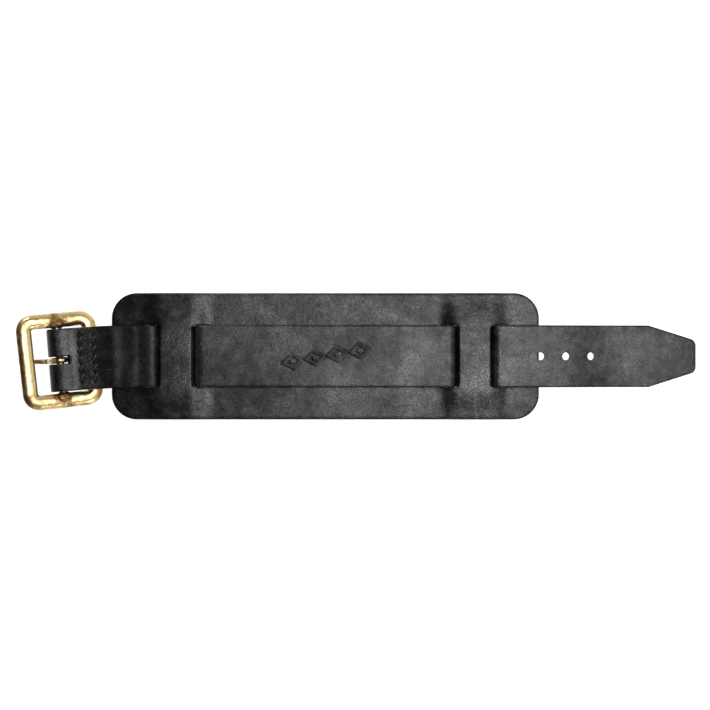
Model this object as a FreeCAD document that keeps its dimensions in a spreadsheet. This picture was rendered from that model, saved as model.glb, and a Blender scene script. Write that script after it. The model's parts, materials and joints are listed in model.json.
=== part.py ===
"""A leather wrist cuff: a wide pad, a narrow strap woven through its four slots, and a cast buckle.

Lengths are in millimetres. The origin is the middle of the pad's underside, +X runs to the strap's
tip and +Z is up. The pad and the strap are each one piece of flexible leather. A rigid body can't
bend, so both are cut crosswise at the same hinge lines, and each cut lets the leather curl there.
"""
import FreeCAD, Part
import Sketcher
import math
import os

Vector = FreeCAD.Vector
Rotation = FreeCAD.Rotation
Placement = FreeCAD.Placement

DIMENSIONS = (
    ("pad_length", 152.0, "pad, end to end"),
    ("pad_width", 45.0, "pad, edge to edge"),
    ("pad_thickness", 2.2, "pad leather"),
    ("pad_corner", 9.0, "pad corner radius"),
    ("strap_width", 22.0, "strap, edge to edge"),
    ("strap_thickness", 2.0, "strap leather"),
    ("leather_gap", 0.2, "air between strap and pad"),
    ("bridge_centre", 52.9, "middle of the pad to the middle of each bridge"),
    ("slot_spacing", 17.9, "between the two slots that make a bridge"),
    ("slot_width", 6.7, "slot, along the strap"),
    ("slot_length", 23.2, "slot, across the strap"),
    ("slot_corner", 2.0, "slot corner radius"),
    ("pad_bend", 9.0, "length over which the pad rises to a bridge"),
    ("strap_bend", 5.0, "length over which the strap dives through a slot"),
    ("strap_inset", 1.05, "how far that dive lies off the slot's middle, towards the bridge"),
    ("first_hole", 76.2, "middle of the pad to the first size hole"),
    ("hole_pitch", 9.0, "between size holes"),
    ("hole_radius", 1.4, "size hole"),
    ("droop_start", 78.0, "where the strap's tail starts to sink"),
    ("droop_end", 108.0, "where the tail lies flat again"),
    ("taper_start", 115.0, "where the tail starts to narrow"),
    ("tip_end", 131.8, "end of the tail"),
    ("tip_width", 12.6, "tail at its blunt end"),
    ("tip_corner", 2.5, "radius of the tail's end corners"),
    ("bar_centre_x", -93.25, "centre bar of the buckle, along the strap"),
    ("bar_centre_z", 6.45, "centre bar of the buckle, above the rest plane"),
    ("bar_radius", 1.4, "centre bar"),
    ("loop_play", 0.5, "room for the bar inside the leather loop"),
    ("fold_gap", 0.1, "between the strap and its folded end"),
    ("fold_end", -79.0, "end of the folded leather"),
    ("fold_throat", 7.5, "length over which the two layers close up behind the bar"),
    ("lift_start", -74.5, "where the raised strap starts to come down to the pad"),
    ("lift_end", -65.35, "where the raised strap meets the pad again"),
    ("prong_slot_width", 3.2, "slot in the fold for the prong"),
    ("prong_slot_reach", 3.9, "how far that slot runs past the centre bar"),
    ("frame_length", 27.8, "buckle frame, along the strap"),
    ("frame_width", 33.5, "buckle frame, across the strap"),
    ("frame_bar", 5.2, "width of the frame's bars"),
    ("frame_thickness", 3.4, "depth of the frame's bars"),
    ("frame_corner", 5.4, "outer corner radius of the frame"),
    ("frame_round", 1.5, "rounding of the frame's long edges"),
    ("window_corner", 1.5, "corner radius of the frame's window"),
    ("frame_tilt", 22.4, "frame against the rest plane, in degrees"),
    ("boss_radius", 2.5, "lump that holds each end of the centre bar"),
    ("boss_length", 5.0, "that lump, along the centre bar"),
    ("bar_bite", 3.8, "how deep the centre bar sits in each side"),
    ("prong_play", 0.08, "between the prong's eye and the centre bar"),
    ("prong_eye_radius", 2.6, "outside of the prong's eye"),
    ("prong_eye_width", 2.4, "prong's eye, along the bar"),
    ("prong_root_radius", 1.1, "prong shank at the eye"),
    ("prong_tip_radius", 0.75, "prong shank at its end"),
    ("prong_reach", 12.6, "bar to the centre of the prong's tip"),
    ("prong_drop", 26.4, "prong below the horizontal at rest, in degrees"),
    ("stitch_hole_radius", 0.55, "holes the thread passes through"),
    ("thread_radius", 0.4, "stitching thread"),
    ("stitch_pitch", 3.28, "between stitch holes along a row"),
    ("outer_row", -85.5, "stitch row nearer the buckle"),
    ("inner_row", -80.7, "stitch row nearer the pad"),
)

PAD_HINGES = tuple(3.8 + 7.6 * k for k in range(10))
LEFT_HINGES = PAD_HINGES + (77.5,)
RIGHT_HINGES = PAD_HINGES + (80.7, 89.7, 98.5, 106.0, 113.5, 121.0)
KNEE_TURN = 2.2      # degrees that the strap turns sideways at each of its two last left hinges
FRAME_TURN = 2.0     # degrees that the frame has slewed further in the leather loop
HOLE_COUNT = 3
STITCH_HOLES = 6
FAR = 300.0          # longer than the cuff, for cutting shapes

doc = FreeCAD.newDocument("wrist_cuff")
sheet = doc.addObject("Spreadsheet::Sheet", "dimensions")
for row, (alias, value, meaning) in enumerate(DIMENSIONS, start=1):
    sheet.set(f"A{row}", meaning)
    sheet.set(f"B{row}", str(value))
    sheet.setAlias(f"B{row}", alias)
doc.recompute()


def size(alias):
    return float(sheet.get(alias))


PAD_MIDDLE = 0.5 * size("pad_thickness")
PAD_RAISED = size("strap_thickness") + size("leather_gap") + PAD_MIDDLE
STRAP_LOW = 0.5 * size("strap_thickness")
STRAP_HIGH = size("pad_thickness") + size("leather_gap") + STRAP_LOW
LAYER_SHIFT = 0.5 * (size("strap_thickness") + size("fold_gap"))
LOOP_MIDDLE = size("bar_radius") + size("loop_play") + STRAP_LOW


# --- leather seen from the side ---------------------------------------------------------------

def s_bend(bend, offset):
    """The two tangent arcs of an S-bend between two level stretches, shifted up by offset."""
    (x_start, z_start), (x_end, z_end) = bend
    way = math.copysign(1.0, z_end - z_start)
    run = x_end - x_start
    turn = 2.0 * math.atan(abs(z_end - z_start) / run)
    radius = run / (2.0 * math.sin(turn))
    middle = Vector(0.5 * (x_start + x_end) - way * offset * math.sin(turn),
                    0.5 * (z_start + z_end) + offset * math.cos(turn), 0)
    half_turn = Vector(math.sin(0.5 * turn), -way * math.cos(0.5 * turn), 0)
    first = Vector(x_start, z_start + way * radius, 0) + half_turn * (radius - way * offset)
    second = Vector(x_end, z_end - way * radius, 0) - half_turn * (radius + way * offset)
    return [Part.ArcOfCircle(Vector(x_start, z_start + offset, 0), first, middle),
            Part.ArcOfCircle(middle, second, Vector(x_end, z_end + offset, 0))]


def long_side(x_start, x_end, bends, offset):
    """One long side of a leather strip: level lines joined by S-bends, offset from its middle."""
    edges = []
    at = Vector(x_start, bends[0][0][1] + offset, 0)
    for bend in bends:
        start = Vector(bend[0][0], bend[0][1] + offset, 0)
        if at.distanceToPoint(start) > 1e-6:
            edges.append(Part.LineSegment(at, start))
        edges += s_bend(bend, offset)
        at = Vector(bend[1][0], bend[1][1] + offset, 0)
    edges.append(Part.LineSegment(at, Vector(x_end, at.y, 0)))
    return edges


def line(x_start, y_start, x_end, y_end):
    return Part.LineSegment(Vector(x_start, y_start, 0), Vector(x_end, y_end, 0))


def bends_at_slots(low, high, length, inset=0.0):
    """S-bends at the four slots, up to each bridge and down again, or the reverse. A positive
    inset moves them from the middle of the slot towards the bridge."""
    bends = []
    for side in (-1, 1):
        for way in (-1, 1):
            centre = side * size("bridge_centre") + way * (0.5 * size("slot_spacing") - inset)
            levels = (low, high) if way < 0 else (high, low)
            bends.append(((centre - 0.5 * length, levels[0]), (centre + 0.5 * length, levels[1])))
    return bends


def pad_side():
    end = 0.5 * size("pad_length")
    half = 0.5 * size("pad_thickness")
    bends = bends_at_slots(PAD_MIDDLE, PAD_RAISED, size("pad_bend"))
    edges = long_side(-end, end, bends, half) + long_side(-end, end, bends, -half)
    return edges + [line(x, PAD_MIDDLE - half, x, PAD_MIDDLE + half) for x in (-end, end)]


def strap_side():
    """The strap's side outline, round the loop at the bar and back along the folded end."""
    half = 0.5 * size("strap_thickness")
    bar_x = size("bar_centre_x")
    bar_z = size("bar_centre_z")
    throat = bar_x + size("fold_throat")
    dives = bends_at_slots(STRAP_HIGH, STRAP_LOW, size("strap_bend"), size("strap_inset"))
    upper = [((bar_x, bar_z + LOOP_MIDDLE), (throat, bar_z + LAYER_SHIFT)),
             ((size("lift_start"), bar_z + LAYER_SHIFT), (size("lift_end"), STRAP_HIGH))]
    upper += dives + [((size("droop_start"), STRAP_HIGH), (size("droop_end"), STRAP_LOW))]
    folded = [((bar_x, bar_z - LOOP_MIDDLE), (throat, bar_z - LAYER_SHIFT))]
    edges = []
    for offset in (-half, half):
        edges += long_side(bar_x, size("tip_end"), upper, offset)
        edges += long_side(bar_x, size("fold_end"), folded, offset)
        reach = LOOP_MIDDLE + offset
        edges.append(Part.ArcOfCircle(Vector(bar_x, bar_z + reach, 0), Vector(bar_x - reach, bar_z, 0),
                                      Vector(bar_x, bar_z - reach, 0)))
    edges.append(line(size("tip_end"), STRAP_LOW - half, size("tip_end"), STRAP_LOW + half))
    low = bar_z - LAYER_SHIFT
    edges.append(line(size("fold_end"), low - half, size("fold_end"), low + half))
    return edges


# --- leather seen from above ------------------------------------------------------------------

def rounded_rectangle(length, width, radius, centre=(0.0, 0.0)):
    x, y = centre
    a, b = 0.5 * length, 0.5 * width
    edges = [line(x - a + radius, y + s * b, x + a - radius, y + s * b) for s in (-1, 1)]
    if b > radius + 1e-6:
        edges += [line(x + s * a, y - b + radius, x + s * a, y + b - radius) for s in (-1, 1)]
    for s in (-1, 1):
        for q in (-1, 1):
            middle = Vector(x + s * (a - radius), y + q * (b - radius), 0)
            diagonal = Vector(s, q, 0) * (radius / math.sqrt(2.0))
            edges.append(Part.ArcOfCircle(middle + Vector(s * radius, 0, 0), middle + diagonal,
                                          middle + Vector(0, q * radius, 0)))
    return edges


def slot_outline(x, length, width):
    return rounded_rectangle(length, width, size("slot_corner"), (x, 0.0))


def pad_outline():
    edges = rounded_rectangle(size("pad_length"), size("pad_width"), size("pad_corner"))
    for side in (-1, 1):
        for way in (-1, 1):
            centre = side * size("bridge_centre") + way * 0.5 * size("slot_spacing")
            edges += slot_outline(centre, size("slot_width"), size("slot_length"))
    return edges


def strap_outline():
    """The strap's edges, its tapered tip and the open-ended slot for the prong."""
    half = 0.5 * size("strap_width")
    start = size("bar_centre_x") - 10.0
    reach = size("bar_centre_x") + size("prong_slot_reach")
    gap = 0.5 * size("prong_slot_width")
    tip = size("tip_end")
    tip_half = 0.5 * size("tip_width")
    radius = size("tip_corner")
    blunt = tip_half - radius
    edges = [line(tip, -blunt, tip, blunt)]
    for s in (-1, 1):
        edges.append(line(start, s * half, size("taper_start"), s * half))
        edges.append(line(size("taper_start"), s * half, tip - radius, s * tip_half))
        edges.append(Part.ArcOfCircle(Vector(tip - radius, s * tip_half, 0),
                                      Vector(tip - 0.3 * radius, s * (blunt + 0.72 * radius), 0),
                                      Vector(tip, s * blunt, 0)))
        edges.append(line(start, s * gap, start, s * half))
        edges.append(line(start, s * gap, reach - gap, s * gap))
    edges.append(Part.ArcOfCircle(Vector(reach - gap, -gap, 0), Vector(reach, 0, 0),
                                  Vector(reach - gap, gap, 0)))
    return edges


def strap_holes():
    """(x, y, alias of the radius) of each size hole and stitch hole."""
    holes = [(size("first_hole") + k * size("hole_pitch"), 0.0, "hole_radius") for k in range(HOLE_COUNT)]
    for row in ("outer_row", "inner_row"):
        holes += [(size(row), y, "stitch_hole_radius") for y in stitch_places()]
    return holes


def stitch_places():
    middle = 0.5 * (STITCH_HOLES - 1)
    return [(k - middle) * size("stitch_pitch") for k in range(STITCH_HOLES)]


# --- document objects -------------------------------------------------------------------------

def slab(name, role, edges, length, holes=()):
    """A body made of one padded sketch on the named origin plane, padded both ways."""
    body = doc.addObject("PartDesign::Body", name)
    plane = next(f for f in body.Origin.OriginFeatures if f.Role == role)
    sketch = body.newObject("Sketcher::SketchObject", name + "_sketch")
    sketch.AttachmentSupport = (plane, [""])
    sketch.MapMode = "FlatFace"
    sketch.addGeometry(edges, False)
    for x, y, alias in holes:
        circle = sketch.addGeometry(Part.Circle(Vector(x, y, 0), Vector(0, 0, 1), size(alias)), False)
        number = sketch.addConstraint(Sketcher.Constraint("Radius", circle, size(alias)))
        sketch.setExpression(f"Constraints[{number}]", f"dimensions.{alias}")
    pad = body.newObject("PartDesign::Pad", name + "_pad")
    pad.Profile = sketch
    pad.SideType = "Symmetric"
    pad.setExpression("Length", length)
    doc.recompute()
    return body


def common(name, first, second):
    result = doc.addObject("Part::Common", name)
    result.Base = first
    result.Tool = second
    return result


def cylinder(name, radius, height, placement):
    """A cylinder along Y, centred on its placement, with its sizes bound to the sheet."""
    result = doc.addObject("Part::Cylinder", name)
    result.setExpression("Radius", radius)
    result.setExpression("Height", height)
    doc.recompute()
    lying = Placement(Vector(0, 0.5 * result.Height.Value, 0), Rotation(Vector(1, 0, 0), 90))
    result.Placement = placement.multiply(lying)
    return result


# --- where the strap's end and the buckle stand -----------------------------------------------

def turned_about(x, degrees):
    """A sideways turn about a vertical line through the strap's middle at x."""
    pivot = Vector(x, 0, 0)
    return Placement(Vector(), Rotation(Vector(0, 0, 1), degrees), pivot)


STRAIGHT = Placement()
KNEE = turned_about(-LEFT_HINGES[-2], KNEE_TURN)
STRAP_END = KNEE.multiply(turned_about(-LEFT_HINGES[-1], KNEE_TURN))
BAR = STRAP_END.multiply(turned_about(size("bar_centre_x"), FRAME_TURN)).multiply(
    Placement(Vector(size("bar_centre_x"), 0, size("bar_centre_z")), Rotation()))


def strap_place(piece):
    """Where the strap's piece stands: pieces count from 0 in the middle, negative to the left."""
    if piece == -len(LEFT_HINGES):
        return STRAP_END
    return KNEE if piece == 1 - len(LEFT_HINGES) else STRAIGHT


# --- cutting the leather at its hinge lines ---------------------------------------------------

def half_space(x, way, place):
    """Everything on one side of a crosswise plane, in a piece's own straight frame."""
    box = Part.makeBox(FAR, FAR, FAR, Vector(x if way > 0 else x - FAR, -0.5 * FAR, -0.5 * FAR))
    box.Placement = place
    return box


def leather_piece(whole, piece, left, right, place, next_place):
    """The stretch of leather between two hinge lines. The plane nearer the middle of the cuff
    belongs to the next piece inwards, so that turned pieces still meet face to face."""
    shape = whole.copy()
    shape.Placement = place
    inner_place = next_place if piece else place
    if left is not None:
        shape = shape.common(half_space(left, 1, inner_place if piece > 0 else place))
    if right is not None:
        shape = shape.common(half_space(right, -1, inner_place if piece < 0 else place))
    return shape.Solids[0] if len(shape.Solids) == 1 else shape


def cut_up(base_name, whole, left_hinges, right_hinges, placed):
    """One Part::Feature for each stretch between hinge lines, named from the middle outwards."""
    features = []
    for piece in range(-len(left_hinges), len(right_hinges) + 1):
        left = right = None
        if piece <= 0:
            left = -left_hinges[-piece] if -piece < len(left_hinges) else None
            right = -left_hinges[-piece - 1] if piece < 0 else right_hinges[0]
        if piece > 0:
            left = right_hinges[piece - 1]
            right = right_hinges[piece] if piece < len(right_hinges) else None
        place = strap_place(piece) if placed else STRAIGHT
        inner = strap_place(piece + 1) if placed and piece < 0 else STRAIGHT
        shape = leather_piece(whole, piece, left, right, place, inner)
        side = "left" if piece < 0 else "right"
        label = f"{base_name}_{side}_{abs(piece)}" if piece else f"{base_name}_middle"
        feature = doc.addObject("Part::Feature", label)
        feature.Shape = shape
        features.append(feature)
    return features


# --- buckle -----------------------------------------------------------------------------------

def buckle_frame():
    """A rounded rectangular casting, with a lump each side that holds the centre bar."""
    ring = rounded_rectangle(size("frame_length"), size("frame_width"), size("frame_corner"))
    ring += rounded_rectangle(size("frame_length") - 2 * size("frame_bar"),
                              size("frame_width") - 2 * size("frame_bar"), size("window_corner"))
    body = slab("frame_ring", "XY_Plane", ring, "dimensions.frame_thickness")
    ring_pad = body.Tip
    half = 0.5 * size("frame_thickness")
    long_edges = [f"Edge{k}" for k, edge in enumerate(ring_pad.Shape.Edges, start=1)
                  if abs(abs(edge.CenterOfMass.z) - half) < 1e-6]
    rounding = body.newObject("PartDesign::Fillet", "frame_rounding")
    rounding.Base = (ring_pad, long_edges)
    rounding.setExpression("Radius", "dimensions.frame_round")
    body.Tip = rounding
    bosses = []
    for name, side in (("far_boss", 1), ("near_boss", -1)):
        centre = side * 0.5 * (size("frame_width") - size("frame_bar"))
        place = Placement(Vector(0, centre, 0), Rotation())
        bosses.append(cylinder(name, "dimensions.boss_radius", "dimensions.boss_length", place))
    solid = doc.addObject("Part::MultiFuse", "frame_solid")
    solid.Shapes = [body] + bosses
    bore_length = "dimensions.frame_width - 2 * dimensions.frame_bar + 2 * dimensions.bar_bite"
    bore = cylinder("bar_bore", "dimensions.bar_radius", bore_length, STRAIGHT)
    frame = doc.addObject("Part::Cut", "buckle_frame")
    frame.Base = solid
    frame.Tool = bore
    frame.Placement = BAR.multiply(Placement(Vector(), Rotation(Vector(0, 1, 0), size("frame_tilt"))))
    bar = cylinder("centre_bar", "dimensions.bar_radius", bore_length, BAR)
    return [frame, bar]


def prong():
    """A round tapered prong with an eye that turns on the centre bar."""
    eye = cylinder("prong_eye", "dimensions.prong_eye_radius", "dimensions.prong_eye_width", STRAIGHT)
    shank = doc.addObject("Part::Cone", "prong_shank")
    shank.setExpression("Radius1", "dimensions.prong_root_radius")
    shank.setExpression("Radius2", "dimensions.prong_tip_radius")
    shank.setExpression("Height", "dimensions.prong_reach")
    shank.Placement = Placement(Vector(), Rotation(Vector(0, 1, 0), -90))
    tip = doc.addObject("Part::Sphere", "prong_point")
    tip.setExpression("Radius", "dimensions.prong_tip_radius")
    tip.Placement.Base = Vector(-size("prong_reach"), 0, 0)
    solid = doc.addObject("Part::MultiFuse", "prong_solid")
    solid.Shapes = [eye, shank, tip]
    bore = cylinder("prong_bore", "dimensions.bar_radius + dimensions.prong_play",
                    "dimensions.prong_eye_width * 2", STRAIGHT)
    result = doc.addObject("Part::Cut", "prong")
    result.Base = solid
    result.Tool = bore
    result.Placement = BAR.multiply(Placement(Vector(), Rotation(Vector(0, 1, 0), -size("prong_drop"))))
    return result


# --- stitching --------------------------------------------------------------------------------

def rod(start, end, radius):
    direction = end - start
    return Part.makeCylinder(radius, direction.Length, start, direction)


def stitch_row(name, x):
    """One running row: thread down through every hole, and a slanted stitch on both faces."""
    radius = size("thread_radius")
    clear = radius + 0.05
    top = size("bar_centre_z") + LAYER_SHIFT + 0.5 * size("strap_thickness") + clear
    bottom = size("bar_centre_z") - LAYER_SHIFT - 0.5 * size("strap_thickness") - clear
    places = stitch_places()
    pieces = []
    for y in places:
        pieces.append(rod(Vector(x, y, bottom), Vector(x, y, top), radius))
        pieces += [Part.makeSphere(radius, Vector(x, y, z)) for z in (bottom, top)]
    for y_start, y_end in zip(places, places[1:]):
        for z in (bottom, top):
            pieces.append(rod(Vector(x, y_start, z), Vector(x, y_end, z), radius))
    row = doc.addObject("Part::Feature", name)
    row.Shape = pieces[0].multiFuse(pieces[1:]).removeSplitter()
    row.Placement = STRAP_END
    return row


# --- the whole cuff ---------------------------------------------------------------------------

pad = common("pad", slab("pad_profile", "XZ_Plane", pad_side(), "dimensions.pad_width + 2"),
             slab("pad_plan", "XY_Plane", pad_outline(), "dimensions.pad_width"))
strap = common("strap", slab("strap_profile", "XZ_Plane", strap_side(), "dimensions.strap_width + 2"),
               slab("strap_plan", "XY_Plane", strap_outline(), "dimensions.strap_width * 2", strap_holes()))
doc.recompute()

sub_parts = cut_up("pad", pad.Shape, PAD_HINGES, PAD_HINGES, placed=False)
sub_parts += cut_up("strap", strap.Shape, LEFT_HINGES, RIGHT_HINGES, placed=True)
sub_parts += buckle_frame()
sub_parts.append(prong())
sub_parts.append(stitch_row("stitch_row_outer", size("outer_row")))
sub_parts.append(stitch_row("stitch_row_inner", size("inner_row")))
doc.recompute()

for item in doc.Objects:
    if "Invalid" in item.State or "Error" in item.State:
        raise SystemExit(f"{item.Label} failed: {item.State}")
for part in sub_parts:
    if part.Shape.isNull() or not part.Shape.isValid() or len(part.Shape.Solids) != 1:
        raise SystemExit(f"{part.Label} is not one valid solid: {len(part.Shape.Solids)}")

os.makedirs("parts", exist_ok=True)
for part in sub_parts:
    part.Shape.exportStep(f"parts/{part.Label}.step")
    print(f"{part.Label:20s} {part.Shape.Volume:9.1f} mm3")
print("centre bar at", BAR.Base, "turned", 2 * KNEE_TURN + FRAME_TURN)
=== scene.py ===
"""Looks for a black leather wrist cuff: pad, woven strap, stitching and a cast brass buckle."""
import json
import math

import bmesh
import bpy
import numpy as np
from mathutils import Matrix, Vector, noise

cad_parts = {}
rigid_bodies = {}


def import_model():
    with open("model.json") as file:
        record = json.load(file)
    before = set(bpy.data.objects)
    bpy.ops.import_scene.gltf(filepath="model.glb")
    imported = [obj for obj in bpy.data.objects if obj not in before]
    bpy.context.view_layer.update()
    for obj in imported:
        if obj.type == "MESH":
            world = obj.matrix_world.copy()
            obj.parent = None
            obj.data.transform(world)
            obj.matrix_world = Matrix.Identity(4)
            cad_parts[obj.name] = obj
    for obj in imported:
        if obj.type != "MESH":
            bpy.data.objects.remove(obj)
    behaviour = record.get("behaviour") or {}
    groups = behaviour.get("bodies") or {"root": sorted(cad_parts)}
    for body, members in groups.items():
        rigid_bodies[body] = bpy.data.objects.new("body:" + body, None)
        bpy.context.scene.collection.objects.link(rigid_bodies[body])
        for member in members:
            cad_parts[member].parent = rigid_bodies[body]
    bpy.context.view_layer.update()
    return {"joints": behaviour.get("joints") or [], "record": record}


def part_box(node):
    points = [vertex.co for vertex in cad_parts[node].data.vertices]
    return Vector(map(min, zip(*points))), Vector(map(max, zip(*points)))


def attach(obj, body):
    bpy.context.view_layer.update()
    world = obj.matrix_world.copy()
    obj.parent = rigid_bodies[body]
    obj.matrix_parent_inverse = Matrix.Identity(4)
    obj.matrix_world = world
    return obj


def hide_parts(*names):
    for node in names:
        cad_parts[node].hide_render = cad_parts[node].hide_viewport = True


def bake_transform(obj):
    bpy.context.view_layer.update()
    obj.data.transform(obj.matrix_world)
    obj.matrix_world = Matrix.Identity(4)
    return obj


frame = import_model()

MM = 0.001
JOINTS = {joint["name"]: joint for joint in frame["joints"]}


def node_size(node, axis):
    low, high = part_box(node)
    return (high[axis] - low[axis]) / MM


# Driving sizes, in millimetres. Those that a CAD node shows directly are read from it.
PAD_LENGTH = 152.0
PAD_WIDTH = node_size("pad_middle", 1)
PAD_THICK = node_size("pad_middle", 2)
PAD_CORNER = 9.0
STRAP_WIDTH = node_size("strap_middle", 1)
STRAP_THICK = node_size("strap_middle", 2)
GAP = 0.2
BRIDGE_CENTRE = 52.9
SLOT_SPACING = 17.9
SLOT_WIDTH = 6.7
SLOT_LENGTH = 22.04           # a little tighter than the solids, as worn leather closes up
SLOT_CORNER = 1.3
PAD_BEND = 9.0
STRAP_BEND = 3.6
STRAP_INSET = 1.75            # how far the strap dives off the slots' middles, towards the bridges
HOLES = (76.2, 85.2, 94.2)
HOLE_RADIUS = 1.4
DROOP = (78.0, 108.0)
TAPER_START = 115.0
TIP_END = 131.8
TIP_WIDTH = 12.6
BAR_X = -93.25
BAR_Z = JOINTS["frame_swing"]["pos_m"][2] / MM
BAR_RADIUS = 1.4
LOOP_PLAY = 0.5
FOLD_GAP = 0.1
FOLD_END = -79.0
FOLD_THROAT = 7.5
LIFT_START = -74.5             # where the strap starts to come down from the fold to the pad
LIFT_END = -65.35
PRONG_SLOT_WIDTH = 2.6
PRONG_SLOT_REACH = 4.3        # past the loop in the upper layer
PRONG_SLOT_REACH_BELOW = 2.5  # past the loop in the lower layer
PRONG_SLOT_CORNER = 0.5
STITCH_ROWS = {"stitch_row_outer": -85.5, "stitch_row_inner": -80.7}
STITCH_HOLES = 6
STITCH_PITCH = 3.28
STITCH_HOLE_RADIUS = 0.6      # across the row
STITCH_HOLE_STRETCH = 1.4     # how much longer the holes are pulled along the row
THREAD_RADIUS = 0.48
TURN_START = -62.85          # where the strap starts to turn sideways, and over what length
TURN_LENGTH = 24.0
TURN = math.radians(4.4)
FRAME_TILT = math.radians(22.4)
PRONG_DROP = math.radians(26.4)

PAD_MIDDLE = 0.5 * PAD_THICK
PAD_RAISED = STRAP_THICK + GAP + PAD_MIDDLE
STRAP_LOW = 0.5 * STRAP_THICK
STRAP_HIGH = PAD_THICK + GAP + STRAP_LOW
LAYER_SHIFT = 0.5 * (STRAP_THICK + FOLD_GAP)
LOOP_MIDDLE = BAR_RADIUS + LOOP_PLAY + STRAP_LOW


# --- middle lines of the leather --------------------------------------------------------------

def s_bend(start, end, count=40):
    """Points and headings of two tangent arcs between two level stretches."""
    (x0, z0), (x1, z1) = start, end
    along = math.copysign(1.0, x1 - x0)
    way = math.copysign(1.0, z1 - z0)
    turn = 2.0 * math.atan(abs(z1 - z0) / abs(x1 - x0))
    radius = abs(x1 - x0) / (2.0 * math.sin(turn))
    t = np.linspace(0.0, turn, count)
    back = t[::-1][1:]
    x = np.r_[x0 + along * radius * np.sin(t), x1 - along * radius * np.sin(back)]
    z = np.r_[z0 + way * radius * (1 - np.cos(t)), z1 - way * radius * (1 - np.cos(back))]
    angle = np.r_[t, back]
    return x, z, np.arctan2(way * np.sin(angle), along * np.cos(angle))


def bends_at_slots(low, high, length, inset=0.0):
    bends = []
    for side in (-1, 1):
        for way in (-1, 1):
            centre = side * BRIDGE_CENTRE + way * (0.5 * SLOT_SPACING - inset)
            first, last = (low, high) if way < 0 else (high, low)
            bends.append(((centre - 0.5 * length, first), (centre + 0.5 * length, last)))
    return bends


class MiddleLine:
    """A leather strip's middle line in the XZ plane, followed by its developed length u."""

    def __init__(self, stretches, zero_x):
        x = np.concatenate([s[0] for s in stretches])
        z = np.concatenate([s[1] for s in stretches])
        heading = np.unwrap(np.concatenate([s[2] for s in stretches]) % (2 * math.pi))
        keep = np.r_[True, np.hypot(np.diff(x), np.diff(z)) > 1e-9]
        self.x, self.z, self.heading = x[keep], z[keep], heading[keep]
        step = np.hypot(np.diff(self.x), np.diff(self.z))
        self.u = np.r_[0.0, np.cumsum(step)]
        if abs(self.heading[-1]) > 1.0:
            self.heading -= self.heading[-1]
        self.first_forward = int(np.flatnonzero(np.cos(self.heading) <= 0.0)[-1]) + 1 if (
            np.cos(self.heading) <= 0.0).any() else 0
        self.u = self.u - self.u_at(zero_x)

    def u_at(self, x):
        """Developed length at x, on the stretch that runs towards +X."""
        part = slice(self.first_forward, None)
        return float(np.interp(x, self.x[part], self.u[part]))

    def place(self, u, w):
        """x and z of points at developed length u and height w above the middle line."""
        heading = np.interp(u, self.u, self.heading)
        x = np.interp(u, self.u, self.x) - w * np.sin(heading)
        z = np.interp(u, self.u, self.z) + w * np.cos(heading)
        return x, z


def level(x0, x1, z):
    heading = 0.0 if x1 > x0 else math.pi
    return np.array([x0, x1]), np.array([z, z]), np.array([heading, heading])


def pad_line():
    bends = bends_at_slots(PAD_MIDDLE, PAD_RAISED, PAD_BEND)
    half = 0.5 * PAD_LENGTH
    stretches = [level(-half, bends[0][0][0], PAD_MIDDLE)]
    stretches += [s_bend(*bend) for bend in bends]
    stretches.append(level(bends[-1][1][0], half, PAD_MIDDLE))
    return MiddleLine(stretches, 0.0)


def strap_line():
    """From the folded end, back round the centre bar and along the strap to its tip."""
    throat = BAR_X + FOLD_THROAT
    under = BAR_Z - LAYER_SHIFT
    over = BAR_Z + LAYER_SHIFT
    t = np.linspace(-0.5 * math.pi, 0.5 * math.pi, 60)
    loop = (BAR_X - LOOP_MIDDLE * np.cos(t), BAR_Z + LOOP_MIDDLE * np.sin(t), 0.5 * math.pi - t)
    stretches = [level(FOLD_END, throat, under),
                 s_bend((throat, under), (BAR_X, BAR_Z - LOOP_MIDDLE)), loop,
                 s_bend((BAR_X, BAR_Z + LOOP_MIDDLE), (throat, over)),
                 s_bend((LIFT_START, over), (LIFT_END, STRAP_HIGH))]
    dives = bends_at_slots(STRAP_HIGH, STRAP_LOW, STRAP_BEND, STRAP_INSET)
    stretches += [s_bend(*bend) for bend in dives]
    stretches += [s_bend((DROOP[0], STRAP_HIGH), (DROOP[1], STRAP_LOW)),
                  level(DROOP[1], TIP_END, STRAP_LOW)]
    return MiddleLine(stretches, 0.0)


def turned(x, y):
    """The sideways turn of the strap's left end, which starts at TURN_START and is spread out."""
    s = np.clip(TURN_START - x, 0.0, None)
    bent = np.minimum(s, TURN_LENGTH)
    angle = TURN * bent / TURN_LENGTH
    radius = TURN_LENGTH / TURN
    rest = s - bent
    centre_x = np.where(s > 0.0, TURN_START - radius * np.sin(angle) - rest * math.cos(TURN), x)
    centre_y = -radius * (1 - np.cos(angle)) - rest * math.sin(TURN)
    return centre_x - y * np.sin(angle), centre_y + y * np.cos(angle)


# --- flat leather shapes ----------------------------------------------------------------------

def arc(centre, radius, start, end, count):
    t = np.radians(np.linspace(start, end, count))
    return [(centre[0] + radius * math.cos(a), centre[1] + radius * math.sin(a)) for a in t]


def rounded_rectangle(length, width, radius, centre_x=0.0, count=12):
    """Counter-clockwise outline."""
    a, b = 0.5 * length - radius, 0.5 * width - radius
    outline = []
    for k, (sx, sy) in enumerate(((1, 1), (-1, 1), (-1, -1), (1, -1))):
        outline += arc((centre_x + sx * a, sy * b), radius, 90 * k, 90 * k + 90, count)
    return outline


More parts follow.
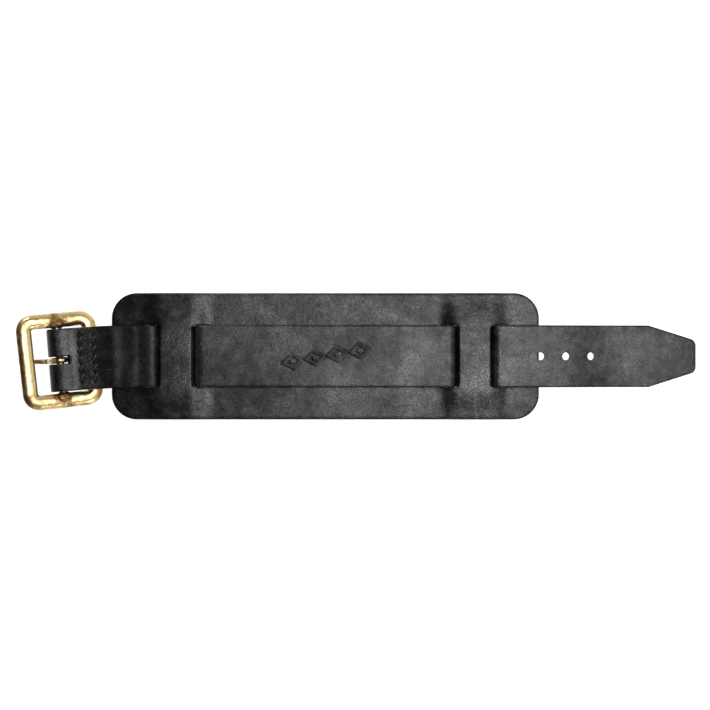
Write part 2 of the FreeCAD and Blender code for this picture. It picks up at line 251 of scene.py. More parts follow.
def material_side(outline):
    """Unit steps into the leather at each point; outer edges run counter-clockwise, holes clockwise."""
    p = np.array(outline)
    before = p - np.roll(p, 1, axis=0)
    after = np.roll(p, -1, axis=0) - p
    before /= np.linalg.norm(before, axis=1)[:, None]
    after /= np.linalg.norm(after, axis=1)[:, None]
    n0 = np.c_[-before[:, 1], before[:, 0]]
    n1 = np.c_[-after[:, 1], after[:, 0]]
    n = n0 + n1
    n /= np.linalg.norm(n, axis=1)[:, None]
    return n / np.clip((n * n0).sum(axis=1), 0.5, 1.0)[:, None]


def flat_leather(outlines, thickness, cuts_u, cuts_y):
    """A flat closed sheet with rounded edges. outlines holds (points, edge rounding) pairs."""
    bm = bmesh.new()
    edge = bm.verts.layers.float.new("edge")
    half = 0.5 * thickness
    top, bottom = [], []
    for points, rounding in outlines:
        p = np.array(points)
        inwards = material_side(points)
        rings = []
        for degrees in (90, 62, 35, 10, -10, -35, -62, -90):
            a = math.radians(degrees)
            inset = rounding * (1 - math.cos(a))
            z = math.copysign(half - rounding, a) + rounding * math.sin(a)
            ring = [bm.verts.new((*q, z)) for q in p + inwards * inset]
            for v in ring:
                v[edge] = 1.0 if abs(degrees) < 60 else 0.55 if abs(degrees) < 80 else 0.0
            rings.append(ring)
        n = len(points)
        for upper, lower in zip(rings, rings[1:]):
            for k in range(n):
                bm.faces.new((upper[k], upper[(k + 1) % n], lower[(k + 1) % n], lower[k]))
        for ring, into in ((rings[0], top), (rings[-1], bottom)):
            into += [bm.edges.get((ring[k], ring[(k + 1) % n])) for k in range(n)]
    for edges in (top, bottom):
        bmesh.ops.triangle_fill(bm, edges=edges, use_beauty=True, use_dissolve=False)
    for axis, cuts in ((0, cuts_u), (1, cuts_y)):
        for at in cuts:
            cut_mesh(bm, bm.verts[:] + bm.edges[:] + bm.faces[:], axis, at)
    bmesh.ops.recalc_face_normals(bm, faces=bm.faces[:])
    return bm


def cut_mesh(bm, geometry, axis, at):
    where = [0.0, 0.0, 0.0]
    where[axis] = at
    normal = [0.0, 0.0, 0.0]
    normal[axis] = 1.0
    return bmesh.ops.bisect_plane(bm, geom=geometry, plane_co=where, plane_no=normal, dist=1e-5)["geom"]


def refine(bm, corner_low, corner_high, z_from, step):
    """Cuts the faces of one side inside a rectangle into a grid."""
    for axis in (0, 1):
        for at in (corner_low[axis], corner_high[axis]):
            cut_mesh(bm, bm.verts[:] + bm.edges[:] + bm.faces[:], axis, at)
    inside = [f for f in bm.faces if f.calc_center_median().z > z_from
              and all(corner_low[k] < f.calc_center_median()[k] < corner_high[k] for k in (0, 1))]
    geometry = set(inside)
    for f in inside:
        geometry.update(f.verts)
        geometry.update(f.edges)
    geometry = list(geometry)
    for axis in (0, 1):
        for at in np.arange(corner_low[axis] + step, corner_high[axis] - 0.5 * step, step):
            geometry = cut_mesh(bm, geometry, axis, float(at))


# --- from a flat sheet to pieces cut between the joints ----------------------------------------

def hinges_of(prefix):
    """(x, inner body, outer body, outer node) of each curl joint whose outer body holds such a node."""
    found = []
    for joint in frame["joints"]:
        if not joint["name"].startswith("curl_"):
            continue
        nodes = [n for n in frame["record"]["behaviour"]["bodies"][joint["child"]] if n.startswith(prefix)]
        if nodes:
            found.append((joint["pos_m"][0] / MM, joint["parent"], joint["child"], nodes[0]))
    return sorted(found)


STRAP_HINGES = hinges_of("strap_")
STRAP_CUTS = [0.5 * (a[0] + b[0]) for a, b in zip(STRAP_HINGES, STRAP_HINGES[1:])]


def bend_pieces(bm, line, prefix, side_turn, shift, name):
    """Wraps the flat sheet along its middle line and cuts it between the hinges."""
    hinges = hinges_of(prefix)
    cuts = [0.5 * (a[0] + b[0]) for a, b in zip(hinges, hinges[1:])]
    cut_u = [line.u_at(x) for x in cuts]
    bm.verts.ensure_lookup_table()
    flat = np.array([v.co for v in bm.verts])
    lift = shift(flat)
    x, z = line.place(flat[:, 0], flat[:, 2] + lift)
    y = flat[:, 1]
    if prefix == "pad_":
        z = relaxed_margin(x, y, z, flat[:, 2])
    if side_turn:
        x, y = turned(x, y)
    whole = bpy.data.meshes.new(name)
    bm.to_mesh(whole)
    whole.vertices.foreach_set("co", (np.c_[x, y, z] * MM).ravel())
    place = whole.attributes.new("leather_place", "FLOAT_VECTOR", "POINT")
    place.data.foreach_set("vector", flat.ravel())
    whole.update()
    normals = np.array([v.normal for v in whole.vertices])
    edge_values = np.zeros(len(whole.vertices), np.float32)
    whole.attributes["edge"].data.foreach_get("value", edge_values)
    centres = [sum(flat[i, 0] for i in poly.vertices) / len(poly.vertices) for poly in whole.polygons]
    owners = np.searchsorted(cut_u, centres)
    co = np.c_[x, y, z] * MM
    pieces = []
    for number, (hinge_x, inner, outer, node) in enumerate(hinges):
        faces = [whole.polygons[i].vertices[:] for i in np.flatnonzero(owners == number)]
        used = sorted({i for face in faces for i in face})
        renumber = {old: new for new, old in enumerate(used)}
        faces = [[renumber[i] for i in face] for face in faces]
        caps = cap_faces(faces)
        mesh = bpy.data.meshes.new(name)
        mesh.from_pydata(co[used], [], faces + caps)
        place = mesh.attributes.new("leather_place", "FLOAT_VECTOR", "POINT")
        place.data.foreach_set("vector", flat[used].ravel())
        edge = mesh.attributes.new("edge", "FLOAT", "POINT")
        edge.data.foreach_set("value", edge_values[used])
        mesh.polygons.foreach_set("use_smooth", [True] * len(mesh.polygons))
        mesh.update()
        set_normals(mesh, normals[used], len(faces))
        mesh.materials.append(leather)
        side = "left" if hinge_x < 0 else "right"
        rank = sum(1 for h in hinges if h[0] * hinge_x > 0 and abs(h[0]) <= abs(hinge_x))
        obj = bpy.data.objects.new(f"{name}_{side}_{rank}", mesh)
        bpy.context.scene.collection.objects.link(obj)
        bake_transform(obj)
        replaced = [node] + ([f"{prefix}middle"] if side == "right" and rank == 1 else [])
        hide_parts(*replaced)
        pieces.append(obj)
    bm.free()
    bpy.data.meshes.remove(whole)
    return pieces


def cap_faces(faces):
    """Closes the open loops that cutting leaves."""
    directed = {}
    for face in faces:
        for a, b in zip(face, face[1:] + face[:1]):
            directed[(a, b)] = True
    following = {b: a for a, b in directed if (b, a) not in directed}
    caps = []
    while following:
        first, nxt = following.popitem()
        loop = [first]
        while nxt != first:
            loop.append(nxt)
            nxt = following.pop(nxt)
        caps.append(loop)
    return caps


def set_normals(mesh, normals, skin_faces):
    """Keeps the whole sheet's shading on the cut piece; caps stay flat."""
    loops = np.zeros((len(mesh.loops), 3))
    for number, poly in enumerate(mesh.polygons):
        for i in poly.loop_indices:
            loops[i] = normals[mesh.loops[i].vertex_index] if number < skin_faces else poly.normal
    mesh.normals_split_custom_set(loops.tolist())


MARGIN_SINK = 0.6            # share of the lift over the strap that the pad loses at its edge


def relaxed_margin(x, y, z, w):
    """Lets the bridges' outer margins, which no strap holds up, sink part of the way back."""
    share = np.clip((np.abs(y) - 0.5 * SLOT_LENGTH) / (0.5 * (PAD_WIDTH - SLOT_LENGTH)), 0.0, 1.0)
    share = share * share * (3 - 2 * share)
    raised = z - w - PAD_MIDDLE
    return z - MARGIN_SINK * share * np.clip(raised, 0.0, None)


# --- pad and strap -----------------------------------------------------------------------------

def wander(points, size_mm, height_mm, seed):
    """Gentle unevenness of hand-cut leather, as a height for each point."""
    return np.array([height_mm * noise.noise(Vector((p[0] / size_mm, p[1] / size_mm, seed)))
                     for p in points])


def spaced(start, end, step):
    count = max(1, int(math.ceil((end - start) / step)))
    return list(np.linspace(start, end, count + 1)[1:-1])


def bend_cuts(line, step, fine, zones):
    """Cross-cuts of a sheet: wide on level stretches and close where it bends."""
    cuts = spaced(line.u[0], line.u[-1], step)
    for x_start, x_end in zones:
        cuts += list(np.arange(line.u_at(x_start), line.u_at(x_end), fine))
    return sorted(cuts)


def build_pad():
    line = pad_line()
    half = line.u[-1]
    outlines = [(rounded_rectangle(2 * half, PAD_WIDTH, PAD_CORNER, count=18), 0.75)]
    zones = []
    for side in (-1, 1):
        for way in (-1, 1):
            x = side * BRIDGE_CENTRE + way * 0.5 * SLOT_SPACING
            low, high = line.u_at(x - 0.5 * SLOT_WIDTH), line.u_at(x + 0.5 * SLOT_WIDTH)
            slot = rounded_rectangle(high - low, SLOT_LENGTH, SLOT_CORNER, 0.5 * (low + high), 10)
            outlines.append((slot[::-1], 0.5))
            zones.append((x - 0.5 * PAD_BEND, x + 0.5 * PAD_BEND))
    cuts = bend_cuts(line, 2.5, 0.6, zones)
    cuts += [line.u_at(0.5 * (a[0] + b[0])) for a, b in zip(hinges_of("pad_"), hinges_of("pad_")[1:])]
    cross = spaced(-0.5 * PAD_WIDTH, 0.5 * PAD_WIDTH, 1.8)
    bm = flat_leather(outlines, PAD_THICK, cuts, cross)
    return bend_pieces(bm, line, "pad_", False, lambda p: wander(p, 21.0, 0.05, 3.1), "pad_leather")


def strap_outlines(line):
    """Outer edge, size holes, stitch holes in both layers and the slot for the prong."""
    start, end = line.u[0], line.u[-1]
    half = 0.5 * STRAP_WIDTH
    corner = 2.5
    taper = line.u_at(TAPER_START)
    tip_half = 0.5 * TIP_WIDTH
    outer = [(start, half), (start, -half), (taper, -half), (end - corner, -tip_half)]
    lower_corner = arc((end - corner, -tip_half + corner), corner, -78, 0, 9)
    outer = outer[:-1] + lower_corner + [(x, -y) for x, y in lower_corner[::-1]] + [(taper, half)]
    outlines = [(outer, 0.55)]
    for x in HOLES:
        outlines.append((arc((line.u_at(x), 0.0), HOLE_RADIUS, 0, -345, 24), 0.18))
    loop_middle = line.u_at(BAR_X + 1e-6) - 0.5 * math.pi * LOOP_MIDDLE
    half_loop = 0.5 * math.pi * LOOP_MIDDLE
    slot_low = loop_middle - half_loop - PRONG_SLOT_REACH_BELOW
    slot_high = loop_middle + half_loop + PRONG_SLOT_REACH
    slot_middle = 0.5 * (slot_low + slot_high)
    prong_slot = rounded_rectangle(slot_high - slot_low, PRONG_SLOT_WIDTH, PRONG_SLOT_CORNER, slot_middle, 9)
    outlines.append((prong_slot[::-1], 0.35))
    for x in STITCH_ROWS.values():
        for y in stitch_places():
            for u in (line.u_at(x), line.u[0] + FOLD_END - x):
                hole = arc((0.0, 0.0), STITCH_HOLE_RADIUS, 0, -330, 12)
                outlines.append(([(u + dx, y + STITCH_HOLE_STRETCH * dy) for dx, dy in hole], 0.12))
    return outlines


def stitch_places():
    middle = 0.5 * (STITCH_HOLES - 1)
    return [(k - middle) * STITCH_PITCH for k in range(STITCH_HOLES)]


MOTIF_TILT = math.radians(9.0)
MOTIF_HALF = (17.0, 6.2)
MOTIF_STEP = 0.3              # grid of the stamped part
OUTER_FACE_FROM = 0.9         # height above the middle line that only the outer face has
LOZENGES = (-12.0, -4.0, 4.0, 12.0)
LOZENGE_HALF = (4.1, 2.9)
BEAD_RADIUS = 0.95
STAMP_HEIGHT = 0.24


def motif_height(u, y):
    """A plain stamped row of lozenges with a bead in each, raised out of a pressed outline."""
    a = u * math.cos(MOTIF_TILT) + y * math.sin(MOTIF_TILT)
    b = -u * math.sin(MOTIF_TILT) + y * math.cos(MOTIF_TILT)
    height = 0.0
    for centre in LOZENGES:
        reach = abs(a - centre) / LOZENGE_HALF[0] + abs(b) / LOZENGE_HALF[1]
        ring = max(0.0, 1.0 - abs(reach - 0.8) / 0.17)
        bead = max(0.0, 1.0 - math.hypot(a - centre, b) / BEAD_RADIUS)
        moat = math.exp(-((reach - 1.06) / 0.09) ** 2) + 0.6 * math.exp(-((reach - 0.52) / 0.09) ** 2)
        height = max(height, min(1.0, 1.7 * ring), min(1.0, 2.0 * bead)) if reach < 1.0 else height
        height -= 0.55 * moat
    return STAMP_HEIGHT * height


def strap_shift(points):
    """Unevenness everywhere, and the stamped motif on the outer face of the middle."""
    lift = wander(points, 17.0, 0.04, 8.4)
    near = (np.abs(points[:, 0]) < MOTIF_HALF[0]) & (np.abs(points[:, 1]) < MOTIF_HALF[1])
    near &= points[:, 2] > OUTER_FACE_FROM
    for i in np.flatnonzero(near):
        lift[i] += motif_height(points[i, 0], points[i, 1])
    return lift


def build_strap():
    line = strap_line()
    zones = []
    for (x_start, _), (x_end, _) in bends_at_slots(STRAP_HIGH, STRAP_LOW, STRAP_BEND, STRAP_INSET):
        zones.append((x_start, x_end))
    zones.append((LIFT_START, LIFT_END))
    zones.append((BAR_X, BAR_X + FOLD_THROAT))
    cuts = bend_cuts(line, 2.5, 0.6, zones)
    cuts += list(np.arange(line.u[0] + 5.5, line.u_at(BAR_X + 1e-6), 0.5))
    cuts += [line.u_at(x) for x in STRAP_CUTS]
    cross = spaced(-0.5 * STRAP_WIDTH, 0.5 * STRAP_WIDTH, 2.2)
    bm = flat_leather(strap_outlines(line), STRAP_THICK, sorted(cuts), cross)
    refine(bm, (-MOTIF_HALF[0], -MOTIF_HALF[1]), MOTIF_HALF, OUTER_FACE_FROM, MOTIF_STEP)
    return bend_pieces(bm, line, "strap_", True, strap_shift, "strap_leather")


# --- materials ---------------------------------------------------------------------------------

CREASE_AT = 53.6             # along the pad, counted from its middle


class Nodes:
    """Short calls for building a material's node tree."""

    def __init__(self, name):
        self.material = bpy.data.materials.new(name)
        self.material.use_nodes = True
        self.tree = self.material.node_tree
        self.shader = self.tree.nodes["Principled BSDF"]

    def add(self, kind, inputs=None, **settings):
        node = self.tree.nodes.new(kind)
        for key, value in settings.items():
            setattr(node, key, value)
        for key, value in (inputs or {}).items():
            self.feed(node.inputs[key], value)
        return node

    def feed(self, socket, value):
        if isinstance(value, bpy.types.NodeSocket):
            self.tree.links.new(value, socket)
        else:
            socket.default_value = value

    def noise(self, vector, scale, detail=4.0, roughness=0.6, distortion=0.0):
        node = self.add("ShaderNodeTexNoise", {"Vector": vector, "Scale": scale, "Detail": detail,
                                               "Roughness": roughness, "Distortion": distortion})
        return node.outputs["Fac"]

    def ramp(self, value, low, high, start=0.0, end=1.0):
        node = self.add("ShaderNodeMapRange", {"Value": value, "From Min": low, "From Max": high,
                                               "To Min": start, "To Max": end})
        return node.outputs["Result"]

    def mix(self, factor, first, second):
        node = self.add("ShaderNodeMix", data_type="RGBA")
        self.feed(node.inputs[0], factor)
        self.feed(node.inputs[6], first)
        self.feed(node.inputs[7], second)
        return node.outputs[2]

    def maths(self, operation, first, second):
        node = self.add("ShaderNodeMath", operation=operation)
        self.feed(node.inputs[0], first)
        self.feed(node.inputs[1], second)
        return node.outputs[0]

    def bump(self, height, distance, strength=1.0, normal=None):
        inputs = {"Height": height, "Distance": distance, "Strength": strength}
        if normal is not None:
            inputs["Normal"] = normal
        return self.add("ShaderNodeBump", inputs).outputs["Normal"]


def crease_mask(n, place):
    """A worn light line across the right bridge, broken up and strongest towards its lower margin."""
    wave = n.ramp(n.noise(place, 0.12, 2.0), 0.3, 0.7, -0.9, 0.9)
    parts = n.add("ShaderNodeSeparateXYZ", {"Vector": place})
    off = n.maths("ABSOLUTE", n.maths("ADD", n.maths("SUBTRACT", parts.outputs["X"], CREASE_AT), wave), 0.0)
    thin = n.ramp(off, 0.05, 0.32, 1.0, 0.0)
    lower = n.ramp(parts.outputs["Y"], -13.0, 4.0, 1.0, 0.0)
    broken = n.ramp(n.noise(place, 1.3, 3.0), 0.42, 0.60)
    outside = n.ramp(parts.outputs["Z"], 0.3, 0.6)
    return n.maths("MULTIPLY", n.maths("MULTIPLY", thin, lower), n.maths("MULTIPLY", broken, outside))


def dull_mask(n, place):
    """A stretch beside the buckle fold, on pad and strap, that is modelled duller and darker."""
    along = n.add("ShaderNodeSeparateXYZ", {"Vector": place}).outputs["X"]
    return n.maths("MULTIPLY", n.ramp(along, -85.0, -81.0), n.ramp(along, -67.0, -57.0, 1.0, 0.0))


def leather_material():
    """Waxed black leather: dark, with a mottled sheen, light specks, scratches and burnished edges."""
    n = Nodes("black_leather")
    place = n.add("ShaderNodeAttribute", attribute_name="leather_place").outputs["Vector"]
    edge = n.add("ShaderNodeAttribute", attribute_name="edge").outputs["Fac"]
    cloud = n.noise(place, 0.05, 5.0, 0.62, 0.4)
    patch = n.noise(place, 0.30, 6.0, 0.70)
    grain = n.noise(place, 2.4, 3.0, 0.7)
    speck = n.noise(place, 4.2, 2.0, 0.5)
    mottle = n.maths("ADD", n.ramp(cloud, 0.34, 0.68, 0.0, 0.6), n.ramp(patch, 0.40, 0.72, 0.0, 0.6))
    colour = n.mix(mottle, (0.0018, 0.0016, 0.0020, 1), (0.0070, 0.0060, 0.0062, 1))
    speck_cover = n.maths("ADD", n.ramp(cloud, 0.46, 0.66), n.ramp(patch, 0.50, 0.66, 0.0, 0.6))
    fleck = n.maths("MULTIPLY", n.ramp(speck, 0.54, 0.68), speck_cover)
    colour = n.mix(n.maths("MULTIPLY", fleck, 0.6), colour, (0.080, 0.074, 0.052, 1))
    for turn, level in ((0.5, 0.685), (-1.1, 0.70)):
        stretched = n.add("ShaderNodeMapping", {"Vector": place, "Rotation": (0, 0, turn),
                                                "Scale": (0.07, 1.5, 1)})
        hairs = n.noise(stretched.outputs["Vector"], 1.0, 2.0, 0.5)
        scratch = n.maths("MULTIPLY", n.ramp(hairs, level, level + 0.03, 0.0, 0.6), n.ramp(patch, 0.44, 0.58))
        colour = n.mix(scratch, colour, (0.085, 0.08, 0.07, 1))
    colour = n.mix(crease_mask(n, place), colour, (0.16, 0.15, 0.125, 1))
    colour = n.mix(edge, colour, (0.0020, 0.0018, 0.0022, 1))
    n.feed(n.shader.inputs["Base Color"], colour)
    rough = n.maths("ADD", n.ramp(patch, 0.3, 0.75, 0.25, 0.35), n.ramp(grain, 0.3, 0.7, -0.04, 0.06))
    n.feed(n.shader.inputs["Roughness"], rough)
    gloss = n.maths("ADD", n.ramp(patch, 0.3, 0.7, 0.22, 0.50), n.ramp(cloud, 0.3, 0.7, -0.08, 0.14))
    gloss = n.maths("ADD", gloss, n.ramp(speck, 0.40, 0.62, -0.13, 0.17))
    gloss = n.maths("ADD", gloss, n.maths("MULTIPLY", fleck, 0.9))
    gloss = n.maths("SUBTRACT", gloss, n.maths("MULTIPLY", edge, 0.16))
    gloss = n.maths("MULTIPLY", gloss, n.ramp(dull_mask(n, place), 0.0, 1.0, 1.0, 0.25))
    n.feed(n.shader.inputs["Specular IOR Level"], gloss)
    pores = n.add("ShaderNodeTexVoronoi", {"Vector": place, "Scale": 1.7}, feature="F1").outputs["Distance"]
    normal = n.bump(n.ramp(pores, 0.0, 0.55), 0.00005, 0.35)
    normal = n.bump(grain, 0.00010, 0.8, normal)
    normal = n.bump(n.noise(place, 0.7, 4.0, 0.6), 0.00025, 0.45, normal)
    n.feed(n.shader.inputs["Normal"], normal)
    return n.material


def brass_material():
    """Antique brass: polished on the ridges, brown where the casting is rough and on the frame's inner walls,
    with painted shade in dark brown on faces turned away from the light.
    """
    n = Nodes("antique_brass")
    place = n.add("ShaderNodeTexCoord").outputs["Object"]
    patina_and_shade = n.add("ShaderNodeAttribute", attribute_name="patina_and_shade").outputs["Fac"]
    cloud = n.noise(place, 260.0, 5.0, 0.6)
    pits = n.noise(place, 1900.0, 3.0, 0.6)
    # Tarnish clouds on top of the attribute, which holds the cast patina and painted shade.
    stain_and_shade = n.maths("ADD", patina_and_shade, n.ramp(cloud, 0.42, 0.68, -0.20, 0.62))
    colour = n.mix(n.ramp(stain_and_shade, 0.15, 0.95), (0.68, 0.51, 0.25, 1), (0.16, 0.088, 0.034, 1))
    colour = n.mix(n.ramp(pits, 0.60, 0.76, 0.0, 0.5), colour, (0.11, 0.065, 0.03, 1))
    n.feed(n.shader.inputs["Base Color"], colour)
    n.shader.inputs["Metallic"].default_value = 1.0
    n.feed(n.shader.inputs["Roughness"], n.ramp(stain_and_shade, 0.0, 1.0, 0.24, 0.48))
    normal = n.bump(pits, 0.00005, 0.35)
    normal = n.bump(cloud, 0.0002, 0.35, normal)
    n.feed(n.shader.inputs["Normal"], normal)
    return n.material


def thread_material():
    """Waxed black thread with its twist."""
    n = Nodes("waxed_thread")
    place = n.add("ShaderNodeTexCoord").outputs["Object"]
    lay = n.add("ShaderNodeMapping", {"Vector": place, "Rotation": (0, 0, 0.9)}).outputs["Vector"]
    twist = n.add("ShaderNodeTexWave", {"Vector": lay, "Scale": 700.0, "Distortion": 1.0}).outputs["Fac"]
    fuzz = n.noise(place, 6000.0, 2.0)
    n.feed(n.shader.inputs["Base Color"], n.mix(fuzz, (0.002, 0.002, 0.0025, 1), (0.014, 0.013, 0.012, 1)))
    n.feed(n.shader.inputs["Roughness"], n.ramp(fuzz, 0.3, 0.7, 0.18, 0.32))
    n.feed(n.shader.inputs["Normal"], n.bump(twist, 0.00012, 0.8))
    return n.material


leather = leather_material()
brass = brass_material()
thread = thread_material()


# --- buckle ------------------------------------------------------------------------------------

FRAME_HALF = (11.3, 14.15)       # bar centre lines, along and across the strap
FRAME_BAR = (5.2, 3.4)           # width and depth of the bars
FRAME_BEND = 3.2                 # corner radius of the bars' centre line
LUMP_PLACE = (13.1, 0.35)        # from the middle, across the strap and up
LUMP_HALF = (3.1, 2.2, 1.95)
REMESH_VOXEL = 0.26
LUMP_FADE = (3.3, 2.6)           # how far the lumps' rough brown surface spreads, along and across
LUMP_MIDDLE = 12.8               # middle of that surface, across the strap
BAR_HALF_LENGTH = 14.6
EYE_PLAY = 0.08                  # between the prong's eye and the centre bar
EYE_WIRE_RADIUS = 0.62
PRONG_REACH = -12.9              # the prong's tip, from the centre bar


def buckle_place(tilt):
    """From the buckle's own straight frame to its place on the centre bar."""
    joint = JOINTS["frame_swing"]
    turn = math.atan2(-joint["axis"][0], joint["axis"][1])
    spin = Matrix.Rotation(turn, 4, "Z") @ Matrix.Rotation(tilt, 4, "Y")
    return Matrix.Translation(joint["pos_m"]) @ spin @ Matrix.Scale(MM, 4)


def tube(bm, path, frames, sections):
    """A skin through one closed section after another; frames holds each section's two directions."""
    rings = []
    for point, (side, up), section in zip(path, frames, sections):
        rings.append([bm.verts.new(point + side * a + up * b) for a, b in section])
    n = len(rings[0])
    for first, second in zip(rings, rings[1:]):
        for k in range(n):
            bm.faces.new((first[k], first[(k + 1) % n], second[(k + 1) % n], second[k]))
    return rings


def close_tube(bm, rings, ring_joined):
    n = len(rings[0])
    if ring_joined:
        for k in range(n):
            bm.faces.new((rings[-1][k], rings[-1][(k + 1) % n], rings[0][(k + 1) % n], rings[0][k]))
    else:
        bm.faces.new(rings[0][::-1])
        bm.faces.new(rings[-1])


def oval(width, depth, count=28, square=2.1):
    points = []
    for k in range(count):
        a = 2 * math.pi * k / count
        c, s = math.cos(a), math.sin(a)
        points.append((0.5 * width * math.copysign(abs(c) ** (2 / square), c),
                       0.5 * depth * math.copysign(abs(s) ** (2 / square), s)))
    return points


def finish_mesh(bm, name, material, place, body, nodes):
    bmesh.ops.recalc_face_normals(bm, faces=bm.faces[:])
    mesh = bpy.data.meshes.new(name)
    bm.to_mesh(mesh)
    bm.free()
    mesh.transform(place)
    mesh.polygons.foreach_set("use_smooth", [True] * len(mesh.polygons))
    mesh.materials.append(material)
    obj = bpy.data.objects.new(name, mesh)
    bpy.context.scene.collection.objects.link(obj)
    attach(obj, body)
    if nodes:
        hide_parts(*nodes)
    return obj


def remeshed(bm, voxel):
    """Joins overlapping shells into one skin."""
    mesh = bpy.data.meshes.new("joined")
    bm.to_mesh(mesh)
    bm.free()
    obj = bpy.data.objects.new("joined", mesh)
    bpy.context.scene.collection.objects.link(obj)
    modifier = obj.modifiers.new("remesh", "REMESH")
    modifier.mode = "VOXEL"
    modifier.voxel_size = voxel
    bpy.context.view_layer.update()
    evaluated = obj.evaluated_get(bpy.context.evaluated_depsgraph_get())
    result = bmesh.new()
    result.from_mesh(evaluated.to_mesh())
    bpy.data.objects.remove(obj)
    bpy.data.meshes.remove(mesh)
    return result


def build_frame():
    """The heavy cast frame, with a rough lump each side where the centre bar is let in."""
    bm = bmesh.new()
    outline = rounded_rectangle(2 * FRAME_HALF[0], 2 * FRAME_HALF[1], FRAME_BEND, count=14)
    dense = []
    for (x0, y0), (x1, y1) in zip(outline, outline[1:] + outline[:1]):
        count = max(1, int(math.hypot(x1 - x0, y1 - y0) / 0.7))
        dense += [(x0 + (x1 - x0) * k / count, y0 + (y1 - y0) * k / count) for k in range(count)]
    inwards = material_side(dense)
    path = [Vector((x, y, 0)) for x, y in dense]
    frames = [(Vector((d[0], d[1], 0)).normalized(), Vector((0, 0, 1))) for d in inwards]
    rings = tube(bm, path, frames, [oval(*FRAME_BAR)] * len(path))
    close_tube(bm, rings, True)
    for side in (-1, 1):
        lump = Matrix.Translation((0, side * LUMP_PLACE[0], LUMP_PLACE[1])) @ Matrix.Diagonal((*LUMP_HALF, 1))
        bmesh.ops.create_icosphere(bm, subdivisions=4, radius=1.0, matrix=lump)
    bm = remeshed(bm, REMESH_VOXEL)
    bm.normal_update()
    patina_and_shade = bm.verts.layers.float.new("patina_and_shade")
    for v in bm.verts:
        near = math.exp(-((v.co.x / LUMP_FADE[0]) ** 2))
        near *= math.exp(-(((abs(v.co.y) - LUMP_MIDDLE) / LUMP_FADE[1]) ** 2))
        rough = noise.noise(v.co * 1.6) * 0.22 * near + noise.noise(v.co * 0.45) * 0.07
        # Painted shade: the left bar's outer side, which faces away from the light, is made brown.
        outer_side_shade = max(0.0, -v.normal.x if v.co.x < -9 else 0.0)
        # Painted shade: faces turned sideways and down are made darker.
        downward_shade = max(0.0, 0.25 - v.normal.z)
        inner = 0.35 if abs(v.co.x) < 9.4 and abs(v.co.y) < 12.0 else 0.0
        # Painted shade: the bar at -Y, which gets less light, is made darker.
        front_bar_shade = 0.25 if v.co.y < -11.0 else 0.0
        v[patina_and_shade] = min(1.0, 1.15 * near + 1.1 * outer_side_shade + 0.45 * downward_shade + inner + front_bar_shade)
        v.co += v.normal * rough
    place = buckle_place(FRAME_TILT)
    return finish_mesh(bm, "cast_frame", brass, place, "buckle", ["buckle_frame"])


def build_bar():
    bm = bmesh.new()
    steps = [BAR_HALF_LENGTH * (2 * k / 40 - 1) for k in range(41)]
    path = [Vector((0, y, 0)) for y in steps]
    sections = [oval(2 * BAR_RADIUS, 2 * BAR_RADIUS, 24, 2.0)] * len(path)
    rings = tube(bm, path, [(Vector((1, 0, 0)), Vector((0, 0, 1)))] * len(path), sections)
    close_tube(bm, rings, False)
    patina_and_shade = bm.verts.layers.float.new("patina_and_shade")
    for v in bm.verts:
        v[patina_and_shade] = 0.55
        v.co += Vector((v.co.x, 0, v.co.z)).normalized() * 0.04 * noise.noise(v.co * 0.9)
    return finish_mesh(bm, "turned_bar", brass, buckle_place(0.0), "buckle", ["centre_bar"])


PRONG_SIDEWAYS = 0.08        # how far the wire has been bent across the strap, per length


def build_prong():
    """A wire prong: an eye closed round the bar, a dip, and a tapered shank."""
    eye = BAR_RADIUS + EYE_PLAY + EYE_WIRE_RADIUS
    path = [Vector((eye * math.cos(a), 0, eye * math.sin(a)))
            for a in np.radians(np.linspace(-150, 100, 46))]
    shank_start = path[-1]
    for k in range(1, 40):
        t = k / 39
        drop = 1 / (1 + math.exp(9 * (t - 0.28))) * (1 + math.exp(-9 * 0.28))
        reach = t * (PRONG_REACH - shank_start.x)
        sideways = PRONG_SIDEWAYS * max(0.0, -reach - PRONG_SLOT_REACH)
        path.append(Vector((shank_start.x + reach, sideways, shank_start.z * min(1.0, drop))))
    bm = bmesh.new()
    frames, sections = [], []
    for k, point in enumerate(path):
        ahead = path[min(k + 1, len(path) - 1)] - path[max(k - 1, 0)]
        frames.append((Vector((0, 1, 0)), ahead.normalized().cross(Vector((0, 1, 0)))))
        t = max(0.0, (k - 46) / (len(path) - 46))
        tip = math.sqrt(max(0.02, 1 - max(0.0, (t - 0.93) / 0.07) ** 2))
        width = 2.0 - 0.45 * t
        depth = 1.24 + 0.25 * math.sin(math.pi * t) - 0.1 * t
        sections.append(oval(width * tip, depth * tip, 20, 2.2))
    rings = tube(bm, path, frames, sections)
    close_tube(bm, rings, False)
    bm.normal_update()
    patina_and_shade = bm.verts.layers.float.new("patina_and_shade")
    for v in bm.verts:
        joint = math.exp(-((v.co.x + 4.9) / 0.5) ** 2)
        # Painted highlight on the top of the eye and painted shade on the rest of the wire; the dark band at
        # the joint is the wire's own tone.
        v[patina_and_shade] = 0.0 if v.co.x > -4.3 and v.co.z > 0.3 else 0.5 + 0.5 * joint
        v.co += v.normal * 0.05 * noise.noise(v.co * 1.1)
    return finish_mesh(bm, "wire_prong", brass, buckle_place(-PRONG_DROP), "prong", ["prong"])


# --- stitching ---------------------------------------------------------------------------------

PLUG_PLAY = 0.04             # by how much a thread plug is smaller than its hole


